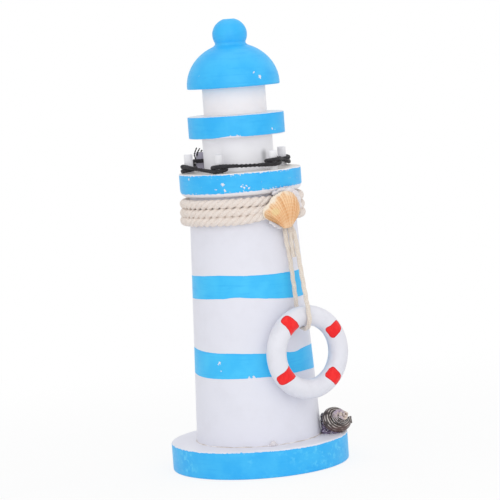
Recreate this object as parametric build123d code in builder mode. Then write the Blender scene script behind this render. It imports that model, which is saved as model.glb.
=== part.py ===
"""Wooden lighthouse ornament: turned wooden pieces on a centre dowel, a rope collar,
a corded gallery rail, glued sea shells and a life ring on a loop of twine.

Millimetres, +Z up, origin at the centre of the base's underside. The life ring hangs
on the front, facing -Y. A bearing is counted in degrees from the front towards +X.
"""
import os
from math import acos, asin, atan2, ceil, cos, degrees, hypot, pi, radians, sin, sqrt, tan

from build123d import *

os.makedirs("parts", exist_ok=True)

# Turned wooden pieces, from the bottom up
base_radius = 47.8
base_thickness = 14.5
base_edge = 0.9
tower_foot_radius = 33.9
tower_top_radius = 28.05
tower_height = 132.5
deck_overhang = 4.7
deck_thickness = 12.5
deck_round = 4.7
deck_round_height = 5.5
deck_edge = 0.6
lower_drum_radius = 18.9
lower_drum_height = 18.3
canopy_radius = 25.9
canopy_thickness = 11.7
canopy_edge = 1.0
upper_drum_radius = 17.0
upper_drum_height = 14.6
dome_radius = 24.9
dome_skirt = 1.2
dome_rise = 22.2
dome_edge = 0.4
ball_radius = 9.35
ball_lift = 4.6
ball_flat_radius = 4.7
ball_neck_fillet = 1.6

# Dowel and screw that hold the stack together
dowel_radius = 4.0
dowel_fit = 0.05
dowel_in_tower = 22.0
dowel_in_dome = 14.0
dowel_end_room = 1.0
screw_radius = 2.2
screw_head_radius = 4.4
screw_in_tower = 24.0
screw_tip = 4.0
screw_fit = 0.1
screw_recess = 0.4

# Gallery rail
post_radius = 2.35
post_height = 10.0
post_seat = 5.0
post_fit = 0.05
post_edge = 0.5
post_inset = 5.75
post_bearings = [-161.0, -122.0, -55.0, 9.5, 88.0, 143.0]
cord_radius = 0.95
cord_gap = 0.1
cord_lift = 0.3
cord_turn_gap = 1.0
cord_last_wrap = 250.0

# Rope collar
rope_radius = 2.15
rope_gap = 0.1
rope_turn_gap = 0.55
rope_full_turns = 3
rope_start_bearing = 32.0
rope_end_bearing = 10.0

# Life ring on its twine
ring_radius = 19.55
ring_tube_radius = 5.3
ring_offset = 9.0
ring_centre_up = 47.4
string_radius = 1.0
string_gap = 0.3
string_wrap_ease = 0.96
knot_radius = 2.1
knot_gap = 0.3
knot_offset = 8.0
strand_spread = 1.65
wrap_corners = 4

# Scallop shell glued over the rope
scallop_bearing = 8.0
scallop_height_above_base = 114.4
scallop_turn = -9.0
scallop_tilt = 9.0
scallop_half_width = 11.8
scallop_length = 19.4
scallop_dome = 6.2
scallop_wall = 1.3
scallop_hinge_half_width = 3.0
scallop_side_angle = -24.0
scallop_ribs = 13
scallop_rib_bow = 0.35
scallop_groove_radius = 0.42
scallop_smooth_length = 7.5
scallop_groove_sweep = 90.0
scallop_seat_gap = 0.3
scallop_glue_radius = 4.6

# Snail shell glued on the base
snail_bearing = 47.0
snail_standoff = 7.7
snail_body_radius = 6.3
snail_back_length = 3.4
snail_spire_length = 7.2
snail_whorls = 4
snail_whorl_shrink = 0.66
snail_suture = 0.93
snail_axis_bearing = -19.0
snail_axis_rise = 25.0
snail_lip_radius = 2.6
snail_lip_reach = 5.1
snail_lip_shift = 1.4
snail_lip_back = 1.2
snail_lip_turn = 185.0
snail_seat_gap = 0.15
snail_glue_radius = 3.6
snail_glue_height = 5.2
snail_glue_round = 2.5
snail_glue_bearing = 33.0
snail_glue_gap = 0.3

# Squeezed-out glue at the tower's foot
bead_size = 0.6

# Heights of the joints between the turned pieces
base_top = base_thickness
tower_top = base_top + tower_height
deck_top = tower_top + deck_thickness
lower_drum_top = deck_top + lower_drum_height
canopy_top = lower_drum_top + canopy_thickness
upper_drum_top = canopy_top + upper_drum_height
dome_shoulder = upper_drum_top + dome_skirt
dome_crown = dome_shoulder + dome_rise
ball_centre = dome_crown + ball_lift
ball_top = ball_centre + sqrt(ball_radius**2 - ball_flat_radius**2)

# Circles that follow the pieces they stand on
deck_radius = tower_top_radius + deck_overhang
post_circle_radius = deck_radius - post_inset
snail_circle_radius = tower_foot_radius + snail_standoff

# The tower's side seen from the right: its lean, its outward normal and the way up it
tower_lean = degrees(atan2(tower_foot_radius - tower_top_radius, tower_height))
side_out = Vector(0, -cos(radians(tower_lean)), sin(radians(tower_lean)))
side_up = Vector(0, sin(radians(tower_lean)), cos(radians(tower_lean)))


def tower_radius_at(height):
    share = (height - base_top) / tower_height
    return tower_foot_radius + share * (tower_top_radius - tower_foot_radius)


def at_bearing(bearing, radius, height):
    turn = radians(bearing)
    return Vector(radius * sin(turn), -radius * cos(turn), height)


def biarc(start, start_way, end, end_way):
    """Two tangent arcs from start to end, leaving and arriving along the given ways."""
    chord = end - start
    bend = 2 * (1 - start_way.dot(end_way))
    along = 2 * chord.dot(start_way + end_way)
    if bend < 1e-9:
        reach = chord.dot(chord) / along
    else:
        reach = (sqrt(along**2 + 4 * bend * chord.dot(chord)) - along) / (2 * bend)
    first = start + start_way * reach
    second = end - end_way * reach
    middle = (first + second) * 0.5
    TangentArc(start, middle, tangent=start_way)
    TangentArc(middle, end, tangent=(second - first).normalized())


def least_gap_to_itself(wire, radius, loop_length):
    """Smallest clear space between stretches of a wound tube at least half a loop apart."""
    count = ceil(wire.length / (radius * 0.5))
    points = [wire.position_at(i / count) for i in range(count + 1)]
    apart = ceil(0.5 * loop_length / (wire.length / count))
    nearest = min(
        hypot(a.X - b.X, a.Y - b.Y, a.Z - b.Z)
        for i, a in enumerate(points)
        for b in points[i + apart :]
    )
    return nearest - 2 * radius


def save(builder, name):
    builder.part.label = name
    export_step(builder.part, f"parts/{name}.step")


# Base plate, countersunk from below for its screw
with BuildPart() as base_plate:
    Cylinder(base_radius, base_thickness, align=(Align.CENTER, Align.CENTER, Align.MIN))
    fillet(base_plate.edges().filter_by(GeomType.CIRCLE), base_edge)
    with Locations(Location((0, 0, 0), (180, 0, 0))):
        CounterSinkHole(screw_radius + screw_fit, screw_head_radius + screw_fit + screw_recess)
save(base_plate, "base_plate")

# Countersunk wood screw, its head just inside the base's underside
screw_head_depth = screw_head_radius - screw_radius
screw_end = base_top + screw_in_tower
with BuildPart() as base_screw:
    with BuildSketch(Plane.XZ):
        with BuildLine():
            Polyline(
                (0, screw_recess),
                (screw_head_radius, screw_recess),
                (screw_radius, screw_recess + screw_head_depth),
                (screw_radius, screw_end - screw_tip),
                (0, screw_end),
                close=True,
            )
        make_face()
    revolve(axis=Axis.Z)
save(base_screw, "base_screw")

# Tower, bored at the top for the dowel and at the foot for the screw
with BuildPart() as tower:
    with BuildSketch(Plane.XZ):
        with BuildLine():
            Polyline(
                (0, base_top),
                (tower_foot_radius, base_top),
                (tower_top_radius, tower_top),
                (0, tower_top),
                close=True,
            )
        make_face()
    revolve(axis=Axis.Z)
    with Locations((0, 0, tower_top)):
        Hole(dowel_radius + dowel_fit, dowel_in_tower + dowel_end_room)
    with Locations(Location((0, 0, base_top), (180, 0, 0))):
        Hole(screw_radius + screw_fit, screw_in_tower + dowel_end_room)
save(tower, "tower")

# Glue bead in the corner between the tower and the base
bead_run = bead_size * tan(radians(tower_lean))
with BuildPart() as foot_glue_bead:
    with BuildSketch(Plane.XZ):
        with BuildLine():
            Polyline(
                (tower_foot_radius, base_top),
                (tower_foot_radius + bead_size, base_top),
                (tower_foot_radius - bead_run, base_top + bead_size),
                close=True,
            )
        make_face()
    revolve(axis=Axis.Z)
save(foot_glue_bead, "foot_glue_bead")

# Gallery deck with its rounded lower edge, dowel bore and post sockets
with BuildPart() as gallery_deck:
    with BuildSketch(Plane.XZ):
        with BuildLine():
            Line((0, tower_top), (deck_radius - deck_round, tower_top))
            EllipticalCenterArc(
                (deck_radius - deck_round, tower_top + deck_round_height),
                deck_round,
                deck_round_height,
                start_angle=270,
                arc_size=90,
            )
            Polyline(
                (deck_radius, tower_top + deck_round_height),
                (deck_radius, deck_top - deck_edge),
                (deck_radius - deck_edge, deck_top),
                (0, deck_top),
                (0, tower_top),
            )
        make_face()
    revolve(axis=Axis.Z)
    with Locations((0, 0, deck_top)):
        Hole(dowel_radius + dowel_fit)
    with Locations([at_bearing(b, post_circle_radius, deck_top) for b in post_bearings]):
        Hole(post_radius + post_fit, post_seat)
save(gallery_deck, "gallery_deck")

# Lower drum, canopy ring and upper drum, all threaded on the dowel
with BuildPart(Plane.XY.offset(deck_top)) as lower_drum:
    Cylinder(lower_drum_radius, lower_drum_height, align=(Align.CENTER, Align.CENTER, Align.MIN))
    Hole(dowel_radius + dowel_fit)
save(lower_drum, "lower_drum")

with BuildPart(Plane.XY.offset(lower_drum_top)) as canopy_ring:
    Cylinder(canopy_radius, canopy_thickness, align=(Align.CENTER, Align.CENTER, Align.MIN))
    fillet(canopy_ring.edges().filter_by(GeomType.CIRCLE), canopy_edge)
    Hole(dowel_radius + dowel_fit)
save(canopy_ring, "canopy_ring")

with BuildPart(Plane.XY.offset(canopy_top)) as upper_drum:
    Cylinder(upper_drum_radius, upper_drum_height, align=(Align.CENTER, Align.CENTER, Align.MIN))
    Hole(dowel_radius + dowel_fit)
save(upper_drum, "upper_drum")

# Dome and ball finial, turned in one piece and bored blind for the dowel
with BuildPart() as dome_cap:
    with BuildSketch(Plane.XZ) as dome_profile:
        with BuildLine():
            Polyline(
                (0, dome_crown),
                (0, upper_drum_top),
                (dome_radius - dome_edge, upper_drum_top),
                (dome_radius, upper_drum_top + dome_edge),
                (dome_radius, dome_shoulder),
            )
            EllipticalCenterArc((0, dome_shoulder), dome_radius, dome_rise, start_angle=0, arc_size=90)
        make_face()
        with Locations((0, ball_centre)):
            Circle(ball_radius)
        fillet(dome_profile.vertices().filter_by(lambda v: v.X > ball_flat_radius).sort_by(Axis.Y)[-1],
               ball_neck_fillet)
        split(bisect_by=Plane.YZ, keep=Keep.TOP)
        split(bisect_by=Plane.XZ.offset(-ball_top), keep=Keep.TOP)
    revolve(axis=Axis.Z)
    with Locations(Location((0, 0, upper_drum_top), (180, 0, 0))):
        Hole(dowel_radius + dowel_fit, dowel_in_dome + dowel_end_room)
save(dome_cap, "dome_cap")

# Centre dowel from the tower to the dome
dowel_foot = tower_top - dowel_in_tower
dowel_length = upper_drum_top + dowel_in_dome - dowel_foot
with BuildPart(Plane.XY.offset(dowel_foot)) as centre_dowel:
    Cylinder(dowel_radius, dowel_length, align=(Align.CENTER, Align.CENTER, Align.MIN))
    chamfer(centre_dowel.edges().filter_by(GeomType.CIRCLE), dowel_end_room)
save(centre_dowel, "centre_dowel")

# Rail posts, each a peg seated in the deck
for number, bearing in enumerate(post_bearings, start=1):
    seat = at_bearing(bearing, post_circle_radius, deck_top - post_seat)
    with BuildPart(Plane(origin=seat)) as rail_post:
        Cylinder(
            post_radius, post_seat + post_height, align=(Align.CENTER, Align.CENTER, Align.MIN)
        )
        fillet(rail_post.edges().filter_by(GeomType.CIRCLE).sort_by(Axis.Z)[-1], post_edge)
    save(rail_post, f"rail_post_{number}")

# Rail cord: one tube that winds once round every post and ends high on the first
cord_wrap_radius = post_radius + cord_gap + cord_radius
cord_low = deck_top + cord_lift + cord_radius
cord_pitch = 2 * cord_radius + cord_turn_gap
cord_posts = [at_bearing(b, post_circle_radius, 0) for b in post_bearings]
cord_ways = [
    (after - before).normalized()
    for before, after in zip(cord_posts, cord_posts[1:] + cord_posts[:1])
]
# Angle of the outer tangent point of each span, seen from either post that it joins
cord_leave = [degrees(atan2(-way.X, way.Y)) for way in cord_ways]


def cord_point(post, angle, height):
    turn = radians(angle)
    return post + Vector(cord_wrap_radius * cos(turn), cord_wrap_radius * sin(turn), height)


def cord_way(angle):
    rise = cord_pitch / (2 * pi * cord_wrap_radius)
    return Vector(-sin(radians(angle)), cos(radians(angle)), rise).normalized()


def wind_post(post, first_angle, last_angle, first_height, first_way=None, last_way=None):
    """Climbing turns round one post, in biarcs of about a quarter turn."""
    steps = ceil((last_angle - first_angle) / 90 - 0.01)
    angles = [first_angle + (last_angle - first_angle) * i / steps for i in range(steps + 1)]
    ways = [cord_way(a) for a in angles]
    ways[0] = first_way or ways[0]
    ways[-1] = last_way or ways[-1]
    points = [cord_point(post, a, first_height + cord_pitch * (a - first_angle) / 360) for a in angles]
    for i in range(steps):
        biarc(points[i], ways[i], points[i + 1], ways[i + 1])
    return points[0], points[-1]


def wrap_height(start, turned):
    return start + cord_pitch * turned / 360


post_count = len(cord_posts)
cord_turns = []
for number in range(1, post_count):
    bend = (cord_leave[number] - cord_leave[number - 1]) % 360
    cord_turns.append(360 + bend)
home_bend = (cord_leave[0] - cord_leave[-1]) % 360
home_height = wrap_height(cord_low, 720 - home_bend)

with BuildPart() as rail_cord:
    with BuildLine() as cord_line:
        leaves = [(cord_posts[0], cord_leave[0], wrap_height(cord_low, 360))]
        arrives = []
        for number in range(1, post_count):
            arrives.append((cord_posts[number], cord_leave[number - 1], cord_low))
            end_height = wrap_height(cord_low, cord_turns[number - 1])
            leaves.append((cord_posts[number], cord_leave[number], end_height))
        arrives.append((cord_posts[0], cord_leave[-1], home_height))
        ends = [(cord_point(*a), cord_point(*b)) for a, b in zip(leaves, arrives)]
        span_ways = [(b - a).normalized() for a, b in ends]
        first, last = wind_post(
            cord_posts[0], cord_leave[0] - 360, cord_leave[0], cord_low, last_way=span_ways[0]
        )
        Line(first - cord_way(cord_leave[0]) * 2 * cord_radius, first)
        for number in range(1, post_count):
            Line(*ends[number - 1])
            wind_post(
                cord_posts[number],
                cord_leave[number - 1],
                cord_leave[number - 1] + cord_turns[number - 1],
                cord_low,
                span_ways[number - 1],
                span_ways[number],
            )
        Line(*ends[-1])
        first, last = wind_post(
            cord_posts[0], cord_leave[-1], cord_leave[-1] + cord_last_wrap, home_height, span_ways[-1]
        )
        Line(last, last + cord_way(cord_leave[-1] + cord_last_wrap) * 2 * cord_radius)
    cord_wire = cord_line.wires()[0]
    with BuildSketch(Plane(origin=cord_wire @ 0, z_dir=cord_wire % 0)):
        Circle(cord_radius)
    sweep(path=cord_wire)
save(rail_cord, "rail_cord")
cord_loop = 2 * pi * cord_wrap_radius
print("rail cord: length", round(cord_wire.length, 1))
print("rail cord: least gap to itself", round(least_gap_to_itself(cord_wire, cord_radius, cord_loop), 2))
print("rail cord: volume over section times length",
      round(rail_cord.part.volume / (pi * cord_radius**2 * cord_wire.length), 4))

# Neck rope: three turns that climb to the underside of the deck
rope_pitch = 2 * rope_radius + rope_turn_gap
rope_turned = 360 * rope_full_turns + rope_end_bearing - rope_start_bearing
rope_high = tower_top - rope_gap - rope_radius
rope_low = rope_high - rope_pitch * rope_turned / 360
rope_steps = ceil(rope_turned / 90)


def rope_point(turned):
    height = rope_low + rope_pitch * turned / 360
    radius = tower_radius_at(height) + rope_gap + rope_radius
    return at_bearing(rope_start_bearing + turned, radius, height)


def rope_way(turned, step=0.01):
    return (rope_point(turned + step) - rope_point(turned - step)).normalized()


with BuildPart() as neck_rope:
    with BuildLine() as rope_line:
        stops = [rope_turned * i / rope_steps for i in range(rope_steps + 1)]
        Line(rope_point(0) - rope_way(0) * 2 * rope_radius, rope_point(0))
        for before, after in zip(stops, stops[1:]):
            biarc(rope_point(before), rope_way(before), rope_point(after), rope_way(after))
        Line(rope_point(rope_turned), rope_point(rope_turned) + rope_way(rope_turned) * 2 * rope_radius)
    rope_wire = rope_line.wires()[0]
    with BuildSketch(Plane(origin=rope_wire @ 0, z_dir=rope_wire % 0)):
        Circle(rope_radius)
    sweep(path=rope_wire)
save(neck_rope, "neck_rope")
rope_loop = 2 * pi * tower_top_radius
print("neck rope: length", round(rope_wire.length, 1))
print("neck rope: least gap to itself", round(least_gap_to_itself(rope_wire, rope_radius, rope_loop), 2))
print("neck rope: volume over section times length",
      round(neck_rope.part.volume / (pi * rope_radius**2 * rope_wire.length), 4))

# Life ring, parallel to the tower's front with room for the twine behind it
ring_standoff = ring_tube_radius + 2 * string_gap + 2 * string_radius
hang_origin = Vector(0, -tower_foot_radius, base_top) + side_out * ring_standoff
ring_centre = hang_origin + Vector(ring_offset, 0, 0) + side_up * ring_centre_up
ring_plane = Plane(origin=ring_centre, x_dir=(1, 0, 0), z_dir=side_out)
with BuildPart(ring_plane) as life_ring:
    Torus(ring_radius, ring_tube_radius)
save(life_ring, "life_ring")

# Knot of the twine, just below the rope where the scallop hides it
knot_bearing = degrees(asin(knot_offset / (tower_radius_at(rope_low) + knot_gap + knot_radius)))
rope_over_knot = rope_point(360 + knot_bearing - rope_start_bearing)
knot_height = rope_over_knot.Z - rope_radius - knot_gap - knot_radius
knot_centre = at_bearing(
    knot_bearing, tower_radius_at(knot_height) + knot_gap + knot_radius, knot_height
)
with BuildPart(Plane(origin=knot_centre)) as hanger_knot:
    Sphere(knot_radius)
save(hanger_knot, "hanger_knot")

# Twine loop: a straight strand down the front of the ring's tube, round it, and up behind
wrap_radius = ring_tube_radius + string_gap + string_radius
wrap_centre = ring_centre + side_up * ring_radius
knot_up = (knot_centre - wrap_centre).dot(side_up)
knot_out = (knot_centre - wrap_centre).dot(side_out)
knot_way = atan2(knot_up, knot_out)
strand_reach = acos(wrap_radius / hypot(knot_up, knot_out))
wrap_start = knot_way - strand_reach
wrap_end = knot_way + strand_reach - 2 * pi
wrap_step = (wrap_end - wrap_start) / wrap_corners


def wrap_corner(number):
    """Corner between two lines that touch the wrap's circle, counted from the front strand."""
    turn = wrap_start + wrap_step * (number + 0.5)
    reach = wrap_radius / cos(wrap_step / 2)
    return wrap_centre + side_out * reach * cos(turn) + side_up * reach * sin(turn)


string_route = [
    knot_centre + Vector(strand_spread, 0, 0),
    *[wrap_corner(number) for number in range(wrap_corners)],
    knot_centre - Vector(strand_spread, 0, 0),
]
string_radii = [wrap_radius * string_wrap_ease] * wrap_corners
with BuildPart() as hanger_string:
    with BuildLine() as string_line:
        FilletPolyline(*string_route, radius=string_radii)
    string_wire = string_line.wires()[0]
    with BuildSketch(Plane(origin=string_wire @ 0, z_dir=string_wire % 0)):
        Circle(string_radius)
    sweep(path=string_wire)
save(hanger_string, "hanger_string")
print("twine: length", round(string_wire.length, 1), "radii", [round(r, 2) for r in string_radii])
print("twine: route", [tuple(round(c, 2) for c in p) for p in string_route])
print("twine: volume over section times length",
      round(hanger_string.part.volume / (pi * string_radius**2 * string_wire.length), 4))
print("knot centre", tuple(round(c, 2) for c in knot_centre))
print("ring hinge point", tuple(round(c, 2) for c in wrap_centre))
print("ring centre", tuple(round(c, 2) for c in ring_centre))
print("side out", tuple(round(c, 5) for c in side_out))
print("total height", round(ball_top, 2))

# Scallop: a fan with a scalloped rim, cut from a domed wall and grooved between its ribs
scallop_seat_radius = tower_radius_at(rope_low) + rope_gap + 2 * rope_radius + scallop_seat_gap
scallop_seat = at_bearing(scallop_bearing, scallop_seat_radius, base_top + scallop_height_above_base)
fan_bearing = scallop_bearing + scallop_turn
fan_right = at_bearing(fan_bearing + 90, 1, 0)
fan_out = at_bearing(fan_bearing, 1, 0)
scallop_plane = Plane(origin=scallop_seat, x_dir=fan_right, z_dir=fan_out).rotated((0, 0, scallop_tilt))
cap_radius = (scallop_half_width**2 + scallop_dome**2) / (2 * scallop_dome)
cap_middle = scallop_length / 2
cap_centre = Vector(0, cap_middle, scallop_dome - cap_radius)
cap_place = scallop_plane.from_local_coords(cap_centre)
umbo = Vector(0, 0, cap_centre.Z + sqrt(cap_radius**2 - cap_middle**2))


def rim_point(share):
    """Point on the fan's rim, from the right side (0) over the crown (0.5) to the left (1)."""
    turn = radians(scallop_side_angle + (180 - 2 * scallop_side_angle) * share)
    return Vector(scallop_half_width * cos(turn), cap_middle + (scallop_length - cap_middle) * sin(turn))


def groove_plane(share):
    """Plane of the great circle over the cap from the hinge to that point of the rim."""
    rim = rim_point(share)
    out = sqrt(cap_radius**2 - (rim.X**2 + (rim.Y - cap_middle) ** 2))
    to_umbo = (umbo - cap_centre).normalized()
    to_rim = Vector(rim.X, rim.Y, cap_centre.Z + out) - cap_centre
    across = to_umbo.cross(to_rim).normalized()
    start = to_umbo.rotate(Axis((0, 0, 0), across), degrees(scallop_smooth_length / cap_radius))
    local = Plane(origin=cap_centre, x_dir=start, z_dir=across)
    return Plane(scallop_plane.location * local.location)


with BuildPart() as scallop_shell:
    with BuildSketch(scallop_plane):
        with BuildLine():
            stops = [i / scallop_ribs for i in range(scallop_ribs + 1)]
            for before, after in zip(stops, stops[1:]):
                SagittaArc(rim_point(before), rim_point(after), -scallop_rib_bow)
            Polyline(
                rim_point(1),
                (-scallop_hinge_half_width, 0),
                (scallop_hinge_half_width, 0),
                rim_point(0),
            )
        make_face()
    extrude(amount=scallop_dome, dir=fan_out)
    with Locations(cap_place):
        Sphere(cap_radius, mode=Mode.INTERSECT)
        Sphere(cap_radius - scallop_wall, mode=Mode.SUBTRACT)
    for stop in stops[1:-1]:
        with Locations(groove_plane(stop).location):
            Torus(
                cap_radius,
                scallop_groove_radius,
                major_angle=scallop_groove_sweep,
                align=None,
                mode=Mode.SUBTRACT,
            )
save(scallop_shell, "scallop_shell")

# Hot glue that fills the shell's hollow down to the rope
with BuildPart() as scallop_glue:
    with BuildSketch(scallop_plane):
        with Locations((0, cap_middle)):
            Circle(scallop_glue_radius)
    extrude(amount=scallop_dome)
    with Locations(cap_place):
        Sphere(cap_radius - scallop_wall, mode=Mode.INTERSECT)
save(scallop_glue, "scallop_glue")

# Snail shell: a spire of whorls, with the last one opening into a lip
rise_cos = cos(radians(snail_axis_rise))
rise_sin = sin(radians(snail_axis_rise))
snail_way = at_bearing(snail_axis_bearing, rise_cos, rise_sin)
body_drop = snail_body_radius * rise_cos + snail_back_length * rise_sin
lip_drop = snail_lip_reach * rise_cos + snail_lip_back * rise_sin + snail_lip_radius
snail_drop = max(body_drop, lip_drop)
snail_origin = at_bearing(snail_bearing, snail_circle_radius, base_top + snail_seat_gap + snail_drop)
snail_right = Vector(0, 0, 1).cross(snail_way).normalized()
snail_plane = Plane(origin=snail_origin, x_dir=snail_right, z_dir=snail_way)
whorl_radii = [snail_body_radius * snail_whorl_shrink**i for i in range(snail_whorls)]
whorl_rise = (snail_back_length + snail_spire_length) / sum(whorl_radii)
lip_local = Plane(origin=(snail_lip_shift, 0, -snail_lip_back), x_dir=(-1, 0, 0))
with BuildPart() as snail_shell:
    with BuildSketch(Plane(origin=snail_origin, x_dir=snail_right, z_dir=-snail_plane.y_dir)):
        with BuildLine():
            outline = [(0, -snail_back_length), (snail_body_radius * snail_suture, -snail_back_length)]
            height = -snail_back_length
            for radius, following in zip(whorl_radii, whorl_radii[1:] + [0]):
                outline.append((radius, height + radius * whorl_rise / 2))
                height += radius * whorl_rise
                outline.append((following * snail_suture, height))
            Polyline(*outline, close=True)
        make_face()
    revolve(axis=Axis(snail_origin, snail_way))
    with Locations(snail_plane.location * lip_local.location):
        Torus(snail_lip_reach, snail_lip_radius, major_angle=snail_lip_turn, align=None)
save(snail_shell, "snail_shell")

# Glitter glue in the corner between the tower and the snail shell
glue_circle_radius = tower_foot_radius + bead_size + snail_glue_gap + snail_glue_radius
with BuildPart(Plane(origin=at_bearing(snail_glue_bearing, glue_circle_radius, base_top))) as snail_glue:
    Cylinder(snail_glue_radius, snail_glue_height, align=(Align.CENTER, Align.CENTER, Align.MIN))
    fillet(snail_glue.edges().filter_by(GeomType.CIRCLE).sort_by(Axis.Z)[-1], snail_glue_round)
    add(snail_shell.part, mode=Mode.SUBTRACT)
save(snail_glue, "snail_glue")
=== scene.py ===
from math import atan2, cos, degrees, exp, hypot, pi, radians, sin, sqrt

import bmesh
import bpy
from mathutils import Matrix, Vector, noise


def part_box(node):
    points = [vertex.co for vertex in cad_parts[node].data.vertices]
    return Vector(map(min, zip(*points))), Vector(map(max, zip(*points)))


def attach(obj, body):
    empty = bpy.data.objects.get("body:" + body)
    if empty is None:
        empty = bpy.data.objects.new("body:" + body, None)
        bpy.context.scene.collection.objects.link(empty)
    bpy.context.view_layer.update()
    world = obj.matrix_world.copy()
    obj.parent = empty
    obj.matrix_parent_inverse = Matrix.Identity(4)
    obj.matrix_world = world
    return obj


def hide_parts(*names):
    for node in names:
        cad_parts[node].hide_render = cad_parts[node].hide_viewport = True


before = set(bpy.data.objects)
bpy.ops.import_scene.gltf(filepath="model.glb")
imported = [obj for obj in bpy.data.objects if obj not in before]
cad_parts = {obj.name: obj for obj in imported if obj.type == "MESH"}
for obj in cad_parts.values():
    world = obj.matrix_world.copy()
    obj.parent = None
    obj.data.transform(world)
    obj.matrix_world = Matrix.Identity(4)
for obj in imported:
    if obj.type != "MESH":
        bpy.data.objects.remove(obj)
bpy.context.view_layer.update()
scene = bpy.context.scene
mm = 0.001
weld = 1e-6  # points this close are one
print("frame in")


# a bearing is counted in degrees from the front towards +X
def atBearing(bearing, radius, height):
    turn = radians(bearing)
    return Vector((radius * sin(turn), -radius * cos(turn), height))


# radius, foot and top in mm of a CAD piece that stands on the axis
def turnedSize(node):
    low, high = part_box(node)
    return [round(size / mm, 2) for size in (high.x, low.z, high.z)]


# camera: where the photo was taken from, a little tilted
shot = {
    "distance": 1236.3, "height": 231.6, "bearing": -32, "pitch": 5.35, "yaw": 0.11, "roll": -4.22,
    "lens": 166.06, "sensor_width": 36, "clip_start": 0.05, "clip_end": 50,
}
pitch, yaw, roll = (radians(shot[way]) for way in ("pitch", "yaw", "roll"))
turnToFront = Matrix.Rotation(radians(shot["bearing"]), 3, "Z")
ahead = turnToFront @ Vector((sin(yaw) * cos(pitch), cos(yaw) * cos(pitch), -sin(pitch)))
level = turnToFront @ Vector((cos(yaw), -sin(yaw), 0))
above = level.cross(ahead)
camRight = level * cos(roll) + above * sin(roll)
camUp = above * cos(roll) - level * sin(roll)
camPlace = atBearing(shot["bearing"], shot["distance"], shot["height"]) * mm
camTurn = Matrix((camRight, camUp, -ahead)).transposed()
cameraData = bpy.data.cameras.new("camera")
for key in ("lens", "sensor_width", "clip_start", "clip_end"):
    setattr(cameraData, key, shot[key])
camera = bpy.data.objects.new("camera", cameraData)
scene.collection.objects.link(camera)
camera.matrix_world = Matrix.Translation(camPlace) @ camTurn.to_4x4()
scene.camera = camera
print("camera set")


# a node's output that reckons like a number
class Value:
    def __init__(self, socket):
        self.socket = socket
        self.tree = socket.id_data

    def other(self, output):
        return Value(self.socket.node.outputs[output])

    def __add__(self, more):
        return calc("ADD", self, more)

    def __sub__(self, less):
        return calc("SUBTRACT", self, less)

    def __rsub__(self, start):
        return calc("SUBTRACT", start, self)

    def __mul__(self, times):
        return calc("MULTIPLY", self, times)

    def __truediv__(self, parts):
        return calc("DIVIDE", self, parts)

    def __pow__(self, power):
        return calc("POWER", self, power)


# node helpers
def feed(node, inputs):
    for key, value in inputs.items():
        if isinstance(value, Value):
            value.tree.links.new(value.socket, node.inputs[key])
        else:
            node.inputs[key].default_value = value


def put(tree, kind, inputs, output=0, **settings):
    made = tree.nodes.new(kind)
    for key, value in settings.items():
        setattr(made, key, value)
    feed(made, inputs)
    return Value(made.outputs[output])


def calc(operation, *values):
    tree = next(value.tree for value in values if isinstance(value, Value))
    return put(tree, "ShaderNodeMath", dict(enumerate(values)), operation=operation)


def vectorCalc(operation, place, other=(0, 0, 0), output="Value"):
    return put(place.tree, "ShaderNodeVectorMath", {0: place, 1: other}, output, operation=operation)


def stretch(place, scales):
    return vectorCalc("MULTIPLY", place, scales, "Vector")


def along(place, origin, way):
    return vectorCalc("DOT_PRODUCT", vectorCalc("SUBTRACT", place, origin, "Vector"), way)


def split(place):
    first = put(place.tree, "ShaderNodeSeparateXYZ", {0: place})
    return [first.other(i) for i in range(3)]


def join(x, y):
    return put(x.tree, "ShaderNodeCombineXYZ", {0: x, 1: y})


def uvOf(tree, layer):
    return split(put(tree, "ShaderNodeUVMap", {}, uv_map=layer))[:2]


def smooth(value, low, high):
    inputs = {"Value": value, "From Min": low, "From Max": high}
    return put(value.tree, "ShaderNodeMapRange", inputs, "Result", interpolation_type="SMOOTHSTEP")


def mixColours(share, first, second):
    return put(share.tree, "ShaderNodeMix", {0: share, 6: first, 7: second}, 2, data_type="RGBA")


# colours laid over a tint, each by its share
def coats(tint, *layers):
    for share, colour in layers:
        tint = mixColours(share, tint, colour)
    return tint


def noiseAt(place, scale, detail=3, rough=0.55):
    inputs = {"Vector": place, "Scale": scale, "Detail": detail, "Roughness": rough}
    return put(place.tree, "ShaderNodeTexNoise", inputs, "Fac")


def ramp(share, stops, way="LINEAR"):
    made = put(share.tree, "ShaderNodeValToRGB", {"Fac": share}, "Color")
    band = made.socket.node.color_ramp
    band.interpolation = way
    while len(band.elements) < len(stops):
        band.elements.new(0.5)
    for element, (spot, colour) in zip(band.elements, stops):
        element.position = spot
        element.color = (*colour, 1)
    return made


# a new material and the place on its object in mm
def newMaterial(name):
    mat = bpy.data.materials.new(name)
    mat.use_nodes = True
    place = put(mat.node_tree, "ShaderNodeTexCoord", {}, "Object")
    return mat, stretch(place, (1 / mm, 1 / mm, 1 / mm))


# set what a material's shader takes, with the bump's height in mm
def dress(mat, tint, rough, bump=None, strength=1, shine=0.5, more=None):
    shader = mat.node_tree.nodes["Principled BSDF"]
    feed(shader, {"Base Color": tint, "Roughness": rough, "Specular IOR Level": shine, **(more or {})})
    if bump is not None:
        heights = {"Height": bump, "Distance": mm, "Strength": strength}
        feed(shader, {"Normal": put(bump.tree, "ShaderNodeBump", heights)})
    return mat


# mesh helpers
def placeMesh(name, bm):
    mesh = bpy.data.meshes.new(name)
    bm.to_mesh(mesh)
    bm.free()
    made = bpy.data.objects.new(name, mesh)
    scene.collection.objects.link(made)
    return made


def afterModifiers(made):
    return bpy.data.meshes.new_from_object(made.evaluated_get(bpy.context.evaluated_depsgraph_get()))


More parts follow.
